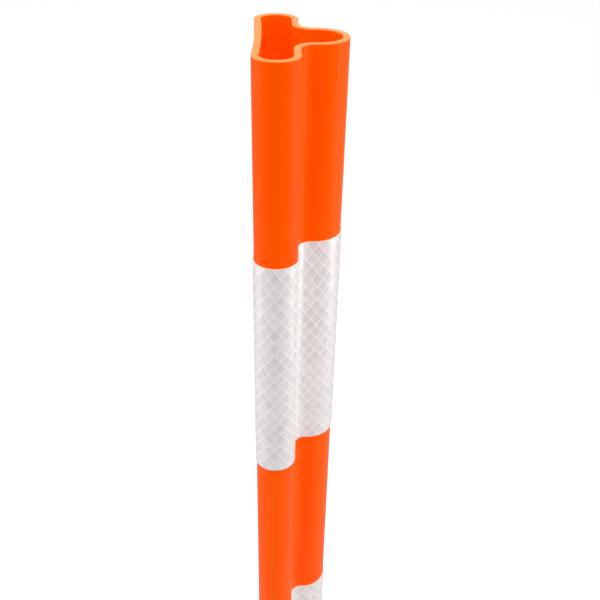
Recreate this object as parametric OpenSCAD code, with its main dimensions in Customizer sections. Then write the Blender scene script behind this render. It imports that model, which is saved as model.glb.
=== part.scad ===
/* [Post section] */
// Width of the post from its back face to the nose of its arm
post_w = 50.5; // [50:0.5:56]
// Depth of the post across its two broad lobes
post_d = 96; // [88:1:102]
// Width of the two broad lobes
head_w = 24.5; // [24.2:0.1:24.8]
// Radius at the ends of the broad lobes
lobe_r = 12; // [10:0.5:12]
// Width of the round-nosed arm
arm_w = 33; // [30:0.5:34]
// Outside radius of the valleys between the arm and the lobes
valley_r = 7.5; // [6:0.5:8]
// Depth of the shallow dish in the back face
dish = 1; // [0.6:0.1:2]
// Thickness of the tube wall
wall = 3.7; // [3:0.1:4]

/* [Heights] */
// Height from the ground to the open rim
post_h = 1067; // [900:1:1200]
// Distance from the rim down to the upper band
band_drop = 111; // [80:1:180]
// Height of each reflective band
band_h = 150; // [100:1:220]
// Clear distance between the two bands
band_gap = 157; // [80:1:220]

/* [Reflective sheeting] */
// Thickness of the sheeting
sheet_t = 0.6; // [0.3:0.1:0.8]
// Clearance between the sheeting and the tube
sheet_clear = 0.05; // [0.02:0.01:0.1]
// Width of the strip where the wrap overlaps itself
seam_w = 14; // [8:1:18]

/* [Foot] */
// Radius of the flange under the post
flange_r = 60; // [57:1:61]
// Thickness of the flange
flange_t = 8; // [6:1:10]
// Height of the plug above the flange
plug_h = 62; // [50:1:80]
// Wall thickness of the hollow plug
plug_wall = 3; // [2.5:0.1:3.2]
// Clearance between the plug and the inside of the tube
plug_clear = 0.05; // [0.02:0.01:0.1]
// Diameter of the drain hole in the flange
drain_d = 8; // [6:1:10]

/* [Foot screws] */
// Diameter of the screw shank
screw_d = 5; // [4:0.5:5]
// Radial clearance round the shank
screw_clear = 0.05; // [0.02:0.01:0.1]
// Diameter of the screw head
screw_head_d = 9; // [8:0.5:10]
// Thickness of the screw head
screw_head_t = 2.4; // [2:0.1:3]
// Diameter of the flat on top of the screw head
screw_top_d = 5.4; // [4.8:0.2:6.4]
// Length of shank that stands out inside the plug
screw_past = 2; // [1:0.5:4]
// Depth of the flat seat that is cut for each head
seat_t = 1.4; // [1.4:0.1:1.8]
// Gap all round between the head and the edge of its seat
seat_clear = 0.5; // [0.3:0.1:0.6]
// Height of the screws above the ground
screw_z = 40; // [34:1:50]

/* [Rubber base] */
// Width of the octagonal base across its flats
base_w = 360; // [320:5:400]
// Height of the outer edge of the base
edge_h = 18; // [14:1:24]
// Drop of the rounded-off outer edge
rim_drop = 4; // [2:1:6]
// Distance from the flats to the inner end of that drop
crown_inset = 6; // [4:1:10]
// Height of the base where its slope meets the hub
shoulder_h = 42; // [34:1:48]
// Height of the hub round the post
hub_h = 60; // [52:1:70]
// Distance that the hub spreads from its top to its foot
hub_flare = 12; // [8:1:16]
// Radius of the hub at its top
hub_r = 70; // [68:1:74]
// Clearance between the base and the post
base_clear = 3; // [2.5:0.1:4]
// Radial clearance between the base and the flange
recess_clear = 1.5; // [1:0.1:3]
// Diameter of the four anchor holes
anchor_d = 14; // [10:1:18]
// Distance between neighbouring anchor holes
anchor_pitch = 200; // [190:5:210]
// Length of each hand hold
grip_w = 95; // [85:1:110]
// Width of each hand hold
grip_d = 28; // [24:1:32]
// Distance from the post to each hand hold
grip_y = 125; // [118:1:132]

/* [Hidden] */
$fn = 96;
eps = 1;
// Furthest that a flat step of the outline may lie from its true arc
arc_error = 0.01;

// Centres of the arcs that make the section
arm_r = arm_w / 2;
nose_x = post_w / 2 - arm_r;
back_x = -post_w / 2 + lobe_r;
front_x = -post_w / 2 + head_w - lobe_r;
lobe_y = post_d / 2 - lobe_r;
valley_x = -post_w / 2 + head_w + valley_r;
valley_y = arm_r + valley_r;
dish_r = (pow(dish, 2) + pow(lobe_y, 2)) / (2 * dish) - lobe_r;
dish_x = -post_w / 2 + dish - dish_r;
dish_turn = atan2(lobe_y, back_x - dish_x);
lobe_mid_x = (back_x + front_x) / 2;

// Screws stand on the nose and on the end of each broad lobe: place and turn
screw_spots = [
    [post_w / 2, 0, 0],
    [lobe_mid_x, post_d / 2, 90],
    [lobe_mid_x, -post_d / 2, -90]
];
screw_l = wall + plug_wall + screw_past;
driver_w = 1.2;
driver_l = 5;
driver_t = 1.2;

upper_z = post_h - band_drop - band_h;
lower_z = upper_z - band_gap - band_h;

hub_foot_r = hub_r + hub_flare;
base_sides = 8;
side_turn = 180 / base_sides;
edge_r = base_w / 2 / cos(side_turn);
// The revolved slope runs out past the corners of the octagon
rim_over = 4;
rim_r = edge_r + rim_over;
crown_r = base_w / 2 - crown_inset;
recess_r = flange_r + recess_clear;

// Points on an arc, from one direction to another, in steps that keep close to the true curve
function arc_steps(r, turn) = ceil(turn / (2 * acos(1 - arc_error / r)));
function arc_points(centre, r, from, to, steps) = [
    for (i = [0:steps])
        let (a = from + (to - from) * i / steps)
            centre + r * [cos(a), sin(a)]
];
function arc(centre, r, from, to) = arc_points(centre, r, from, to, arc_steps(r, abs(to - from)));
function mirrored(list) = [for (i = [len(list) - 1:-1:0]) [list[i][0], -list[i][1]]];

// Upper half of the post's outline, from the nose round to the back, grown by a distance
function half_outline(grow) = concat(
    arc([nose_x, 0], arm_r + grow, 0, 90),
    arc([valley_x, valley_y], valley_r - grow, 270, 180),
    arc([front_x, lobe_y], lobe_r + grow, 0, 90),
    arc([back_x, lobe_y], lobe_r + grow, 90, 180 + dish_turn),
    arc([dish_x, 0], dish_r - grow, dish_turn, 0)
);

// Outline of the post, grown outward by a distance, or shrunk when it is negative
module outline(grow) {
    half = half_outline(grow);
    polygon(concat(half, mirrored(half)));
}

module place_screws(inset) {
    for (spot = screw_spots) {
        translate([spot[0], spot[1], screw_z]) rotate([0, 0, spot[2]])
            translate([-inset, 0, 0]) rotate([0, 90, 0]) children();
    }
}

module post_tube() {
    color("orangered") difference() {
        translate([0, 0, flange_t]) linear_extrude(post_h - flange_t) difference() {
            outline(0);
            outline(-wall);
        }
        place_screws(seat_t) cylinder(r = screw_head_d / 2 + seat_clear, h = seat_t + eps);
        place_screws(wall + eps) cylinder(r = screw_d / 2 + screw_clear, h = wall + 2 * eps);
    }
}

// A wrap of sheeting, with its ends overlapped along the back face
module band(z) {
    inner = sheet_clear;
    outer = sheet_clear + sheet_t;
    color("whitesmoke") translate([0, 0, z]) {
        linear_extrude(band_h) difference() {
            outline(outer);
            outline(inner);
        }
        linear_extrude(band_h) intersection() {
            difference() {
                outline(outer + sheet_t);
                outline(outer);
            }
            translate([-post_w, -seam_w / 2]) square([post_w, seam_w]);
        }
    }
}

module upper_band() {
    band(upper_z);
}

module lower_band() {
    band(lower_z);
}

// Flange that traps the base, with a hollow plug that fills the end of the tube
module foot() {
    plug = -wall - plug_clear;
    color("dimgray") difference() {
        union() {
            cylinder(r = flange_r, h = flange_t);
            translate([0, 0, flange_t]) linear_extrude(plug_h) outline(plug);
        }
        translate([0, 0, flange_t]) linear_extrude(plug_h + eps) outline(plug - plug_wall);
        translate([lobe_mid_x, 0, -eps]) cylinder(d = drain_d, h = flange_t + 2 * eps);
        place_screws(screw_l + wall) cylinder(r = screw_d / 2 + screw_clear, h = screw_l + wall);
    }
}

// One pan-head screw, with its head's seat at z = 0 and its shank pointing down
module screw() {
    difference() {
        union() {
            cylinder(d = screw_head_d, h = screw_head_t / 2);
            translate([0, 0, screw_head_t / 2])
                cylinder(d1 = screw_head_d, d2 = screw_top_d, h = screw_head_t / 2);
            translate([0, 0, -screw_l]) cylinder(d = screw_d, h = screw_l);
        }
        for (turn = [0, 90]) {
            rotate([0, 0, turn]) translate([-driver_l / 2, -driver_w / 2, screw_head_t - driver_t])
                cube([driver_l, driver_w, driver_t + eps]);
        }
    }
}

module foot_screws() {
    color("silver") place_screws(seat_t) screw();
}

// Heavy moulded base, which drops over the post and rests on the flange
module rubber_base() {
    profile = [
        [0, 0],
        [rim_r, 0],
        [rim_r, edge_h - rim_drop],
        [crown_r, edge_h],
        [hub_foot_r, shoulder_h],
        [hub_r, hub_h],
        [0, hub_h]
    ];
    color("#262626") difference() {
        intersection() {
            rotate_extrude() polygon(profile);
            rotate([0, 0, side_turn]) cylinder(r = edge_r, h = hub_h, $fn = base_sides);
        }
        translate([0, 0, -eps]) linear_extrude(hub_h + 2 * eps) outline(base_clear);
        translate([0, 0, -eps]) cylinder(r = recess_r, h = flange_t + eps);
        for (x = [-1, 1], y = [-1, 1]) {
            translate([x * anchor_pitch / 2, y * anchor_pitch / 2, -eps])
                cylinder(d = anchor_d, h = hub_h);
        }
        for (side = [-1, 1]) {
            translate([0, side * grip_y, -eps]) linear_extrude(hub_h) slot(grip_w, grip_d);
        }
    }
}

// Round-ended slot, centred on the origin
module slot(length, width) {
    end_x = (length - width) / 2;
    polygon(concat(
        arc([end_x, 0], width / 2, -90, 90),
        arc([-end_x, 0], width / 2, 90, 270)
    ));
}

post_tube();
upper_band();
lower_band();
foot();
foot_screws();
rubber_base();
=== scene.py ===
import bpy
import bmesh
import math
from mathutils import Matrix, Vector


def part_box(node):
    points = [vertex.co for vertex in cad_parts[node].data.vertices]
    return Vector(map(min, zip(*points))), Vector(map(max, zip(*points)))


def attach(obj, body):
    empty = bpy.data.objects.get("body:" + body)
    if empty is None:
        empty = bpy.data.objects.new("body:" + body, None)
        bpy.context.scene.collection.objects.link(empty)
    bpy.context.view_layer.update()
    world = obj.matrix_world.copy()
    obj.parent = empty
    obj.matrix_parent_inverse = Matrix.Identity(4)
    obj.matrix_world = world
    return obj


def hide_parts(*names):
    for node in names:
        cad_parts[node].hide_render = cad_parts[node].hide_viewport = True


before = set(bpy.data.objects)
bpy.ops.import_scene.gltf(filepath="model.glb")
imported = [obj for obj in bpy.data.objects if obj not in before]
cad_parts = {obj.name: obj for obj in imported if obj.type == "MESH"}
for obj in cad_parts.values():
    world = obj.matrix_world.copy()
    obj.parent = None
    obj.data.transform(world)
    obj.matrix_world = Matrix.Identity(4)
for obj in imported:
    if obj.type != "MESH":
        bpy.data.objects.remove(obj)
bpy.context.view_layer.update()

mm = 0.001
weldDistance = 0.002 * mm
scene = bpy.context.scene
scene.view_settings.view_transform = "Standard"
tubeLow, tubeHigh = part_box("post_tube")
print("frame loaded, rim at", round(tubeHigh.z, 3))


# camera and light

lens = {
    "place": (-13.6, -411.7, 104.3),  # mm, from the middle of the rim
    "heading": 2.2,  # degrees, from +Y towards +X
    "pitch": 32.86,  # degrees below level
    "roll": 1.25,
    "focal": 47.04,
    "sensor": 36,
}


def makeCamera(spec):
    pitch, roll, heading = (math.radians(spec[key]) for key in ("pitch", "roll", "heading"))
    ahead = Vector((math.sin(heading), math.cos(heading), 0))
    forward = ahead * math.cos(pitch) - Vector((0, 0, math.sin(pitch)))
    level = Vector((math.cos(heading), -math.sin(heading), 0))
    upright = level.cross(forward)
    right = level * math.cos(roll) + upright * math.sin(roll)
    up = upright * math.cos(roll) - level * math.sin(roll)
    camera = bpy.data.objects.new("camera", bpy.data.cameras.new("camera"))
    scene.collection.objects.link(camera)
    turn = Matrix((right, up, -forward)).transposed().to_4x4()
    place = Vector(spec["place"]) * mm + Vector((0, 0, tubeHigh.z))
    camera.matrix_world = Matrix.Translation(place) @ turn
    camera.data.lens = spec["focal"]
    camera.data.sensor_width = spec["sensor"]
    scene.camera = camera


# places and sizes in metres, power in watts
softLights = {
    "leftWall": {"place": (-1.5, -0.1, 1.1), "size": (0.8, 2.4), "power": 9},
    "rightWall": {"place": (1.5, -0.1, 1.1), "size": (0.8, 2.4), "power": 11},
    "ceiling": {"place": (0.0, 0.3, 3.2), "size": (3.0, 3.0), "power": 16},
}
studio = {
    "lightAim": (0, 0, 0.8),  # metres
    "sideGlow": 0.78,
    "frontGlow": 0.42,  # dimmer on the side that the camera stands on
    "frontSpan": (-0.95, -0.35),  # Y of a direction, from all front glow to all side glow
    "backdrop": 1.0,
    "floor": 0.92,
    "floorBounce": 0.42,  # how pale the floor is to everything but the camera
    "floorGlow": 0.3,
    "floorRoughness": 0.9,
    "floorSize": 30,
}


def makeLights():
    for name, spec in softLights.items():
        data = bpy.data.lights.new(name, "AREA")
        data.shape = "RECTANGLE"
        data.size, data.size_y = spec["size"]
        data.energy = spec["power"]
        lamp = bpy.data.objects.new(name, data)
        scene.collection.objects.link(lamp)
        aim = Vector(studio["lightAim"]) - Vector(spec["place"])
        lamp.rotation_euler = aim.to_track_quat("-Z", "Y").to_euler()
        lamp.location = spec["place"]


# small helpers for shader and geometry trees


def addNode(tree, kind, values=None, **settings):
    node = tree.nodes.new(kind)
    for key, value in settings.items():
        setattr(node, key, value)
    for key, value in (values or {}).items():
        if isinstance(value, bpy.types.NodeSocket):
            tree.links.new(value, node.inputs[key])
        else:
            node.inputs[key].default_value = value
    return node


def calc(tree, operation, a, b=0.0):
    return addNode(tree, "ShaderNodeMath", {0: a, 1: b}, operation=operation).outputs[0]


def ramp(tree, value, low, high, toLow=0.0, toHigh=1.0):
    values = {"Value": value, "From Min": low, "From Max": high, "To Min": toLow, "To Max": toHigh}
    return addNode(tree, "ShaderNodeMapRange", values).outputs["Result"]


def blendColour(tree, factor, first, second):
    node = tree.nodes.new("ShaderNodeMix")
    node.data_type = "RGBA"
    tree.links.new(factor, node.inputs[0])
    for key, value in ((6, first), (7, second)):
        if isinstance(value, bpy.types.NodeSocket):
            tree.links.new(value, node.inputs[key])
        else:
            node.inputs[key].default_value = (*value, 1)
    return node.outputs[2]


def newMaterial(name, finish):
    material = bpy.data.materials.new(name)
    material.use_nodes = True
    tree = material.node_tree
    surface = tree.nodes["Principled BSDF"]
    for key, value in finish.items():
        surface.inputs[key].default_value = value
    return material, tree, surface


def objectSpace(tree):
    return addNode(tree, "ShaderNodeTexCoord").outputs["Object"]


def heightOf(tree, position):
    return addNode(tree, "ShaderNodeSeparateXYZ", {"Vector": position}).outputs["Z"]


def seenDirectly(tree):
    return addNode(tree, "ShaderNodeLightPath").outputs["Is Camera Ray"]


# white to the eye, and a soft room that is brighter at the sides to everything it lights
def makeWorld():
    world = bpy.data.worlds.new("studio")
    world.use_nodes = True
    tree = world.node_tree
    direction = addNode(tree, "ShaderNodeTexCoord").outputs["Generated"]
    depth = addNode(tree, "ShaderNodeSeparateXYZ", {"Vector": direction}).outputs["Y"]
    room = ramp(tree, depth, *studio["frontSpan"], studio["frontGlow"], studio["sideGlow"])
    glow = ramp(tree, seenDirectly(tree), 0.0, 1.0, room, studio["backdrop"])
    tree.nodes["Background"].inputs["Color"].default_value = (1, 1, 1, 1)
    tree.links.new(glow, tree.nodes["Background"].inputs["Strength"])
    scene.world = world


makeCamera(lens)
makeLights()
makeWorld()
print("camera and lights")


# moulding grain and broad patches, for the plastics, the sheeting, the rubber and the steel

patchSpan = (0.35, 0.7)  # noise values between which the colour changes
glossSpan = (0.3, 0.7)  # the same for the gloss


def makeGrainGroup():
    group = bpy.data.node_groups.new("surfaceGrain", "ShaderNodeTree")
    for name, kind, direction in (
        ("Position", "NodeSocketVector", "INPUT"),
        ("Grain Scale", "NodeSocketFloat", "INPUT"),
        ("Patch Scale", "NodeSocketFloat", "INPUT"),
        ("Height", "NodeSocketFloat", "OUTPUT"),
        ("Patches", "NodeSocketFloat", "OUTPUT"),
    ):
        group.interface.new_socket(name=name, in_out=direction, socket_type=kind)
    start = group.nodes.new("NodeGroupInput").outputs
    stop = group.nodes.new("NodeGroupOutput").inputs
    for scale, detail, result in (("Grain Scale", 3.0, "Height"), ("Patch Scale", 4.0, "Patches")):
        values = {"Vector": start["Position"], "Scale": start[scale], "Detail": detail}
        noise = addNode(group, "ShaderNodeTexNoise", values)
        group.links.new(noise.outputs["Fac"], stop[result])
    return group


grainGroup = makeGrainGroup()


def useGrain(tree, position, look):
    node = addNode(tree, "ShaderNodeGroup", node_tree=grainGroup)
    tree.links.new(position, node.inputs["Position"])
    node.inputs["Grain Scale"].default_value = look["grainScale"]
    node.inputs["Patch Scale"].default_value = look["patchScale"]
    return node.outputs["Height"], node.outputs["Patches"]


def addBump(tree, surface, height, look):
    values = {"Height": height, "Strength": look["bump"], "Distance": look["bumpDepth"]}
    bump = addNode(tree, "ShaderNodeBump", values)
    tree.links.new(bump.outputs["Normal"], surface.inputs["Normal"])


# section of the post, in millimetres

section = {
    "lobeRadius": 12.0,
    "headWidth": 24.5,
    "armWidth": 33.0,
    "valleyRadius": 7.5,
    "dish": 1.0,
    "wall": 3.7,
    "stepAngle": 4.0,  # degrees of arc between two points
    "fewestSteps": 8,  # on any arc
    "closest": 0.01,  # mm, below which two points are one
}


def sectionCentres(spec):
    halfWidth, halfDepth = tubeHigh.x / mm, tubeHigh.y / mm
    lobeY = halfDepth - spec["lobeRadius"]
    headFace = spec["headWidth"] - halfWidth
    dishRadius = (spec["dish"] ** 2 + lobeY ** 2) / (2 * spec["dish"]) - spec["lobeRadius"]
    return {
        "nose": (halfWidth - spec["armWidth"] / 2, 0),
        "front": (headFace - spec["lobeRadius"], lobeY),
        "back": (spec["lobeRadius"] - halfWidth, lobeY),
        "valley": (headFace + spec["valleyRadius"], spec["armWidth"] / 2 + spec["valleyRadius"]),
        "dish": (spec["dish"] - halfWidth - dishRadius, 0),
        "dishRadius": dishRadius,
    }


def arc(centre, radius, start, stop, steps):
    points = []
    for i in range(steps + 1):
        angle = math.radians(start + (stop - start) * i / steps)
        x, y = centre[0] + radius * math.cos(angle), centre[1] + radius * math.sin(angle)
        points.append(Vector((x, y, 0)))
    return points


# whole outline, counter-clockwise from the middle of the back face, grown by a distance in mm
def outline(grow):
    c = sectionCentres(section)
    dishTurn = math.degrees(math.atan2(c["back"][1], c["back"][0] - c["dish"][0]))
    lobe = section["lobeRadius"] + grow
    half = []
    for centre, radius, start, stop in (
        (c["nose"], section["armWidth"] / 2 + grow, 0, 90),
        (c["valley"], section["valleyRadius"] - grow, 270, 180),
        (c["front"], lobe, 0, 90),
        (c["back"], lobe, 90, 180 + dishTurn),
        (c["dish"], c["dishRadius"] - grow, dishTurn, 0),
    ):
        steps = max(section["fewestSteps"], round(abs(stop - start) / section["stepAngle"]))
        points = arc(centre, radius, start, stop, steps)
        half += [p for p in points if not half or (p - half[-1]).length > section["closest"]]
    lower = [Vector((p.x, -p.y, 0)) for p in reversed(half)]
    return [p * mm for p in lower[:-1] + half[:-1]]


# how the closed section of a wall or a sheet is drawn
wallRounding = {
    "cornerSteps": 4,
    "holdBack": 3,  # corner radii between a corner and the first point down the side
    "longestHold": 8,  # and never more than this part of the height
}


# closed section, upright and in metres, with rounded corners and rows of points down its sides
def wallSection(thickness, height, radius, rings):
    corners = []
    x, y = thickness / 2 - radius, height / 2 - radius
    for cx, cy, start in ((x, y, 0), (-x, y, 90), (-x, -y, 180), (x, -y, 270)):
        corners += arc((cx, cy), radius, start, start + 90, wallRounding["cornerSteps"])
    hold = min(wallRounding["holdBack"] * radius, height / wallRounding["longestHold"])
    side = [y - hold - i * 2 * (y - hold) / rings for i in range(rings + 1)]
    right = [Vector((thickness / 2, v, 0)) for v in reversed(side)]
    left = [Vector((-thickness / 2, v, 0)) for v in side]
    half = len(corners) // 2
    return [p * mm for p in right + corners[:half] + left + corners[half:]]


def wire(name, points, closed):
    mesh = bpy.data.meshes.new(name)
    count = len(points)
    edges = [(i, (i + 1) % count) for i in range(count if closed else count - 1)]
    mesh.from_pydata([tuple(p) for p in points], edges, [])
    thing = bpy.data.objects.new(name, mesh)
    scene.collection.objects.link(thing)
    return thing


# sweeps a wall section round an outline, and keeps the distance along it for the material
def makeSweepTree():
    tree = bpy.data.node_groups.new("sweptWall", "GeometryNodeTree")
    for name, kind in (
        ("Geometry", "NodeSocketGeometry"),
        ("Wall Section", "NodeSocketObject"),
        ("Middle Height", "NodeSocketFloat"),
        ("Material", "NodeSocketMaterial"),
    ):
        tree.interface.new_socket(name=name, in_out="INPUT", socket_type=kind)
    tree.interface.new_socket(name="Geometry", in_out="OUTPUT", socket_type="NodeSocketGeometry")
    start = tree.nodes.new("NodeGroupInput").outputs
    stop = tree.nodes.new("NodeGroupOutput").inputs

    def then(kind, values, **settings):
        return addNode(tree, kind, values, **settings).outputs[0]

    path = then("GeometryNodeMeshToCurve", {"Mesh": start["Geometry"]})
    path = then("GeometryNodeSetCurveNormal", {"Curve": path}, mode="Z_UP")
    along = addNode(tree, "GeometryNodeSplineParameter").outputs["Length"]
    path = then("GeometryNodeStoreNamedAttribute", {"Geometry": path, "Name": "along", "Value": along})
    info = addNode(tree, "GeometryNodeObjectInfo", {"Object": start["Wall Section"]})
    profile = then("GeometryNodeMeshToCurve", {"Mesh": info.outputs["Geometry"]})
    wall = then("GeometryNodeCurveToMesh", {0: path, 1: profile})
    lift = then("ShaderNodeCombineXYZ", {"Z": start["Middle Height"]})
    wall = then("GeometryNodeTransform", {"Geometry": wall, "Translation": lift})
    wall = then("GeometryNodeRealizeInstances", {0: wall})
    wall = then("GeometryNodeSetMaterial", {"Geometry": wall, "Material": start["Material"]})
    tree.links.new(wall, stop[0])
    return tree


sweepTree = makeSweepTree()


def plainMesh(thing, name):
    graph = bpy.context.evaluated_depsgraph_get()
    made = thing.evaluated_get(graph)
    mesh = bpy.data.meshes.new_from_object(made, preserve_all_data_layers=True, depsgraph=graph)
    mesh.name = name
    thing.modifiers.clear()
    thing.data = mesh
    thing.name = name


# merges doubles, closes open ends and turns the faces outwards
def closeWall(thing):
    work = bmesh.new()
    work.from_mesh(thing.data)
    bmesh.ops.remove_doubles(work, verts=work.verts, dist=weldDistance)
    loose = [edge for edge in work.edges if edge.is_boundary]
    if loose:
        bmesh.ops.holes_fill(work, edges=loose, sides=0)
    bmesh.ops.recalc_face_normals(work, faces=work.faces)
    work.to_mesh(thing.data)
    work.free()


def shade(thing, sharpAngle):
    thing.data.shade_smooth()
    thing.data.set_sharp_from_angle(angle=math.radians(sharpAngle))


def sweep(name, path, closed, profile, middle, material):
    thing = wire(name, path, closed)
    sectionWire = wire(name + "Section", profile, True)
    modifier = thing.modifiers.new("sweep", "NODES")
    modifier.node_group = sweepTree
    values = {"Wall Section": sectionWire, "Middle Height": middle, "Material": material}
    for item in sweepTree.interface.items_tree:
        if item.in_out == "INPUT" and item.name in values:
            modifier[item.identifier] = values[item.name]
    plainMesh(thing, name)
    bpy.data.objects.remove(sectionWire)
    closeWall(thing)
    return thing


# the post

postLook = {
    "orange": (1.0, 0.097, 0.0),
    "deep": (0.97, 0.07, 0.0),
    "cut": (1.0, 0.255, 0.057),
    "cutDepth": 0.5 * mm,
    "edge": 0.35,  # mm, rounding of the sawn rim
    "rings": 10,
    "sharpAngle": 40,
    # painted glow: the plastic glows in its own orange even in shade, standing in for its fluorescence
    "paintedFluorescentGlow": 0.4,
    "specular": 0.14,
    "specularTint": (1.0, 0.4, 0.08, 1),
    "roughness": (0.3, 0.42),
    "drawnOut": (1.0, 1.0, 0.04),  # the grain runs lengthwise, as extruded
    "grainScale": 900.0,
    "patchScale": 40.0,
    "bump": 0.12,
    "bumpDepth": 0.2 * mm,
}


def postPlastic(look):
    finish = {
        "Specular IOR Level": look["specular"],
        "Specular Tint": look["specularTint"],
        "Emission Strength": look["paintedFluorescentGlow"],
    }
    material, tree, surface = newMaterial("orangePlastic", finish)
    position = objectSpace(tree)
    drawn = addNode(tree, "ShaderNodeMapping", {"Vector": position, "Scale": look["drawnOut"]})
    grain, patches = useGrain(tree, drawn.outputs[0], look)
    colour = blendColour(tree, ramp(tree, patches, *patchSpan), look["orange"], look["deep"])
    cutFrom, cutTo = tubeHigh.z - look["cutDepth"], tubeHigh.z - look["cutDepth"] / 3
    atRim = ramp(tree, heightOf(tree, position), cutFrom, cutTo)
    colour = blendColour(tree, atRim, colour, look["cut"])
    tree.links.new(colour, surface.inputs["Base Color"])
    # the painted glow takes the plastic's colour
    tree.links.new(colour, surface.inputs["Emission Color"])
    tree.links.new(ramp(tree, patches, *glossSpan, *look["roughness"]), surface.inputs["Roughness"])
    addBump(tree, surface, grain, look)
    return material


# seats and holes for the foot screws, in mm: radius, depth below the surface, and length of the cutter
screwSeats = {
    "height": 40.0,  # from the ground
    "cutters": ((5.0, 1.4, 10.0), (2.55, 9.0, 14.0)),
    "sides": 48,
}


def addCylinder(work, centre, direction, radius, depth):
    turn = Vector((0, 0, 1)).rotation_difference(direction).to_matrix().to_4x4()
    bmesh.ops.create_cone(
        work, cap_ends=True, segments=screwSeats["sides"], radius1=radius, radius2=radius,
        depth=depth, matrix=Matrix.Translation(centre) @ turn
    )


# a flat seat and a clear hole for each foot screw
def screwCutter():
    c = sectionCentres(section)
    height = screwSeats["height"] * mm
    middle = (c["front"][0] + c["back"][0]) / 2 * mm
    spots = (
        (Vector((tubeHigh.x, 0, height)), Vector((1, 0, 0))),
        (Vector((middle, tubeHigh.y, height)), Vector((0, 1, 0))),
        (Vector((middle, tubeLow.y, height)), Vector((0, -1, 0))),
    )
    work = bmesh.new()
    for place, out in spots:
        for radius, depth, length in screwSeats["cutters"]:
            centre = place + out * (length / 2 - depth) * mm
            addCylinder(work, centre, out, radius * mm, length * mm)
    mesh = bpy.data.meshes.new("screwCutter")
    work.to_mesh(mesh)
    work.free()
    cutter = bpy.data.objects.new("screwCutter", mesh)
    scene.collection.objects.link(cutter)
    return cutter


def makePost():
    height = (tubeHigh.z - tubeLow.z) / mm
    profile = wallSection(section["wall"], height, postLook["edge"], postLook["rings"])
    middle = (tubeHigh.z + tubeLow.z) / 2
    path = outline(-section["wall"] / 2)
    post = sweep("postShell", path, True, profile, middle, postPlastic(postLook))
    cutter = screwCutter()
    cut = post.modifiers.new("screwSeats", "BOOLEAN")
    cut.object, cut.operation, cut.solver, cut.use_self = cutter, "DIFFERENCE", "EXACT", True
    plainMesh(post, "postShell")
    bpy.data.objects.remove(cutter)
    shade(post, postLook["sharpAngle"])
    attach(post, "post")
    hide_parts("post_tube")


makePost()
print("post")


# the reflective bands

sheeting = {
    "thickness": 0.6,  # mm
    "clearance": 0.05,
    "seam": 14.0,  # mm of overlap on the back face
    "climb": 1.2,  # mm in which the wrap climbs onto its own start
    "corner": 0.12,  # mm, rounding of the cut edges
    "rings": 6,
    "sharpAngle": 50,
    "cellWidth": 6.9 * mm,
    "cellHeight": 9.35 * mm,
    "lineWidth": 0.06,  # share of a cell
    "lineFade": (1.3, 0.7),  # where a line fades out and is whole, in line widths
    "paintedShadeByChance": 0.45,  # how much painted shade a cell gets at random
    "paintedShadeAcross": 0.35,  # and how much painted shade darkens it across
    "pale": (0.96, 0.90, 0.895),
    # painted shade: the darker copy of the sheet's colour, standing in for prisms that send back less
    # light
    "paintedShade": (0.72, 0.66, 0.665),
    "line": (0.97, 0.90, 0.89),
    # painted highlight: a cream line along the cut top edge of the sheet
    "edge": (1.0, 0.80, 0.62),
    "topHighlightSpan": (0.9 * mm, 0.3 * mm),  # where the painted highlight fades in, below the top
    # painted shadow: a dark line along the bottom edge of the sheet
    "bottomEdgeShadow": (0.42, 0.25, 0.18),
    "bottomShadowSpan": (0.7 * mm, 0.3 * mm),  # where the painted shadow fades in, above the bottom
    "bottomShadowShare": 0.8,
    "glow": 0.23,  # painted glow, standing in for the light that the prisms send back
    "coat": 0.5,
    "coatRoughness": 0.08,
    "metallic": (0.3, 0.0),  # in a cell and on a line
    "roughness": (0.22, 0.42),
    "relief": {"line": 0.6, "grain": 0.3, "patches": 0.8},
    "grainScale": 1500.0,
    "patchScale": 60.0,
    "bump": 0.25,
    "bumpDepth": 0.4 * mm,
}
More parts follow.
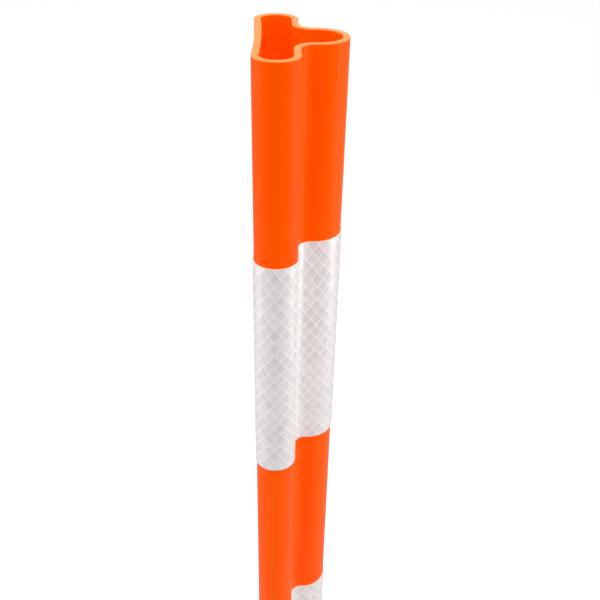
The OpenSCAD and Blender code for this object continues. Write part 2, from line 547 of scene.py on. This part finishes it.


# clear-faced prism cells in a diamond lattice that follows the wrap, with painted shade on the cells,
# a painted highlight under the top edge, a painted shadow above the bottom edge and a painted glow
def prismSheet(name, look, bottom, top):
    finish = {
        "Coat Weight": look["coat"],
        "Coat Roughness": look["coatRoughness"],
        # painted glow in the sheet's own colours, the painted shade, highlight and shadow included
        "Emission Strength": look["glow"],
    }
    material, tree, surface = newMaterial(name, finish)
    position = objectSpace(tree)
    height = heightOf(tree, position)

    along = addNode(tree, "ShaderNodeAttribute", attribute_name="along").outputs["Fac"]
    across = calc(tree, "DIVIDE", along, look["cellWidth"])
    up = calc(tree, "DIVIDE", height, look["cellHeight"])
    rising, falling = calc(tree, "ADD", across, up), calc(tree, "SUBTRACT", across, up)
    toRising, toFalling = (calc(tree, "PINGPONG", value, 0.5) for value in (rising, falling))
    toLine = calc(tree, "MINIMUM", toRising, toFalling)
    onLine = ramp(tree, toLine, *(look["lineWidth"] * share for share in look["lineFade"]))

    corner = {"X": calc(tree, "FLOOR", rising), "Y": calc(tree, "FLOOR", falling)}
    cell = addNode(tree, "ShaderNodeCombineXYZ", corner).outputs[0]
    noise = addNode(tree, "ShaderNodeTexWhiteNoise", {"Vector": cell}, noise_dimensions="2D")
    chance = noise.outputs["Value"]
    # painted shade on each cell, at random and darker across it, standing in for how each prism
    # catches the light
    slope = calc(tree, "SUBTRACT", calc(tree, "FRACT", rising), calc(tree, "FRACT", falling))
    paintedChanceShade = calc(tree, "MULTIPLY", chance, look["paintedShadeByChance"])
    paintedAcrossShade = calc(tree, "MULTIPLY", ramp(tree, slope, -1.0, 1.0), look["paintedShadeAcross"])
    colour = blendColour(tree, calc(tree, "ADD", paintedChanceShade, paintedAcrossShade), look["pale"], look["paintedShade"])
    colour = blendColour(tree, onLine, colour, look["line"])

    # painted highlight under the top edge
    atTopHighlight = ramp(tree, height, *(top - inset for inset in look["topHighlightSpan"]))
    colour = blendColour(tree, atTopHighlight, colour, look["edge"])
    # painted shadow above the bottom edge
    bottomShadowSpan = (bottom + inset for inset in look["bottomShadowSpan"])
    inBottomShadow = ramp(tree, height, *bottomShadowSpan, 0.0, look["bottomShadowShare"])
    colour = blendColour(tree, inBottomShadow, colour, look["bottomEdgeShadow"])

    tree.links.new(colour, surface.inputs["Base Color"])
    # the painted glow takes the sheet's colour
    tree.links.new(colour, surface.inputs["Emission Color"])
    tree.links.new(ramp(tree, onLine, 0.0, 1.0, *look["metallic"]), surface.inputs["Metallic"])
    tree.links.new(ramp(tree, chance, 0.0, 1.0, *look["roughness"]), surface.inputs["Roughness"])
    grain, patches = useGrain(tree, position, look)
    share = look["relief"]
    relief = calc(tree, "MULTIPLY", onLine, share["line"])
    relief = calc(tree, "ADD", relief, calc(tree, "MULTIPLY", grain, share["grain"]))
    relief = calc(tree, "ADD", relief, calc(tree, "MULTIPLY", patches, share["patches"]))
    addBump(tree, surface, relief, look)
    return material


# path of one wrap: across its own start, once round, then over the start
def wrapPath(spec):
    layer = spec["clearance"] + spec["thickness"] / 2
    first, second = outline(layer), outline(layer + spec["thickness"])
    half = spec["seam"] / 2 * mm

    def atBack(p):
        return p.x < 0 and abs(p.y) < half

    x1 = next(p.x for p in first if atBack(p))
    x2 = next(p.x for p in second if atBack(p))
    under = [Vector((x1, half, 0)), Vector((x1, 0, 0)), Vector((x1, -half, 0))]
    over = [Vector((x2, half - spec["climb"] * mm, 0)), Vector((x2, 0, 0)), Vector((x2, -half, 0))]
    return under + [p for p in first if not atBack(p)] + over


def makeBand(node, name):
    low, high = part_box(node)
    height = (high.z - low.z) / mm
    profile = wallSection(sheeting["thickness"], height, sheeting["corner"], sheeting["rings"])
    material = prismSheet(name + "Sheet", sheeting, low.z, high.z)
    band = sweep(name, wrapPath(sheeting), False, profile, (high.z + low.z) / 2, material)
    shade(band, sheeting["sharpAngle"])
    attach(band, "post")
    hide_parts(node)


makeBand("upper_band", "upperWrap")
makeBand("lower_band", "lowerWrap")
print("bands")


# foot, screws and rubber base: the working shapes, with moulded edges

rubber = {
    "black": (0.022, 0.022, 0.023),
    "crumb": (0.06, 0.058, 0.056),
    "crumbScale": 330.0,
    "crumbSpan": (0.15, 0.6),
    "crumbShare": 0.55,
    "dust": (0.13, 0.12, 0.11),
    "dustSpan": (0.5, 0.85),
    "dustShare": 0.6,
    "specular": 0.3,
    "roughSpan": (0.2, 0.8),
    "roughness": (0.68, 0.92),
    "grainScale": 420.0,
    "patchScale": 9.0,
    "bump": 0.5,
    "bumpDepth": 0.6 * mm,
    "edge": 1.4 * mm,
    "edgeSteps": 3,
}
footPlastic = {
    "clean": (0.035, 0.036, 0.038),
    "worn": (0.06, 0.06, 0.06),
    "metallic": 0.0,
    "roughness": (0.47, 0.65),
    "grainScale": 900.0,
    "patchScale": 60.0,
    "bump": 0.3,
    "bumpDepth": 0.2 * mm,
    "edge": 0.5 * mm,
    "edgeSteps": 2,
}
zincSteel = {
    "clean": (0.66, 0.65, 0.62),
    "worn": (0.45, 0.45, 0.44),
    "metallic": 1.0,
    "roughness": (0.22, 0.4),
    "grainScale": 2500.0,
    "patchScale": 60.0,
    "bump": 0.15,
    "bumpDepth": 0.2 * mm,
    "edge": 0.12 * mm,
    "edgeSteps": 2,
}
softening = {"flatAngle": 0.5, "edgeAngle": 35, "sharpAngle": 32}  # degrees


def rubberMaterial(look):
    material, tree, surface = newMaterial("crumbRubber", {"Specular IOR Level": look["specular"]})
    position = objectSpace(tree)
    grain, patches = useGrain(tree, position, look)
    cells = addNode(tree, "ShaderNodeTexVoronoi", {"Vector": position, "Scale": look["crumbScale"]})
    crumb = ramp(tree, cells.outputs["Distance"], *look["crumbSpan"])
    crumbMask = calc(tree, "MULTIPLY", crumb, look["crumbShare"])
    colour = blendColour(tree, crumbMask, look["black"], look["crumb"])
    dustMask = ramp(tree, patches, *look["dustSpan"], 0.0, look["dustShare"])
    colour = blendColour(tree, dustMask, colour, look["dust"])
    tree.links.new(colour, surface.inputs["Base Color"])
    rough = ramp(tree, patches, *look["roughSpan"], *look["roughness"])
    tree.links.new(rough, surface.inputs["Roughness"])
    addBump(tree, surface, calc(tree, "ADD", crumb, grain), look)
    return material


def grainedMaterial(name, look):
    material, tree, surface = newMaterial(name, {"Metallic": look["metallic"]})
    grain, patches = useGrain(tree, objectSpace(tree), look)
    colour = blendColour(tree, ramp(tree, patches, *patchSpan), look["clean"], look["worn"])
    tree.links.new(colour, surface.inputs["Base Color"])
    tree.links.new(ramp(tree, patches, *glossSpan, *look["roughness"]), surface.inputs["Roughness"])
    addBump(tree, surface, grain, look)
    return material


def softened(node, name, look, material, body):
    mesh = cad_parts[node].data.copy()
    mesh.name = name
    work = bmesh.new()
    work.from_mesh(mesh)
    bmesh.ops.remove_doubles(work, verts=work.verts, dist=weldDistance)
    flat = math.radians(softening["flatAngle"])
    bmesh.ops.dissolve_limit(work, angle_limit=flat, verts=work.verts, edges=work.edges)
    work.to_mesh(mesh)
    work.free()
    thing = bpy.data.objects.new(name, mesh)
    scene.collection.objects.link(thing)
    mesh.materials.clear()
    mesh.materials.append(material)
    bevel = thing.modifiers.new("edges", "BEVEL")
    bevel.width, bevel.segments, bevel.limit_method = look["edge"], look["edgeSteps"], "ANGLE"
    bevel.angle_limit = math.radians(softening["edgeAngle"])
    plainMesh(thing, name)
    shade(thing, softening["sharpAngle"])
    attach(thing, body)
    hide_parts(node)


footMaterial = grainedMaterial("footPlastic", footPlastic)
steelMaterial = grainedMaterial("zincSteel", zincSteel)
softened("rubber_base", "rubberBase", rubber, rubberMaterial(rubber), "base")
softened("foot", "footMoulding", footPlastic, footMaterial, "post")
softened("foot_screws", "footScrews", zincSteel, steelMaterial, "post")
print("foot, screws and base")


# floor, paler to the camera than to what it lights


def makeFloor():
    half = studio["floorSize"] / 2
    corners = [(-half, -half, 0), (half, -half, 0), (half, half, 0), (-half, half, 0)]
    mesh = bpy.data.meshes.new("floor")
    mesh.from_pydata(corners, [], [(0, 1, 2, 3)])
    floor = bpy.data.objects.new("floor", mesh)
    scene.collection.objects.link(floor)
    finish = {"Roughness": studio["floorRoughness"], "Emission Strength": studio["floorGlow"]}
    material, tree, surface = newMaterial("floorPaint", finish)
    direct = seenDirectly(tree)
    dull, pale = [studio["floorBounce"]] * 3, [studio["floor"]] * 3
    tree.links.new(blendColour(tree, direct, dull, pale), surface.inputs["Base Color"])
    glow = blendColour(tree, direct, (0, 0, 0), (1, 1, 1))
    tree.links.new(glow, surface.inputs["Emission Color"])
    mesh.materials.append(material)


makeFloor()
print("floor")
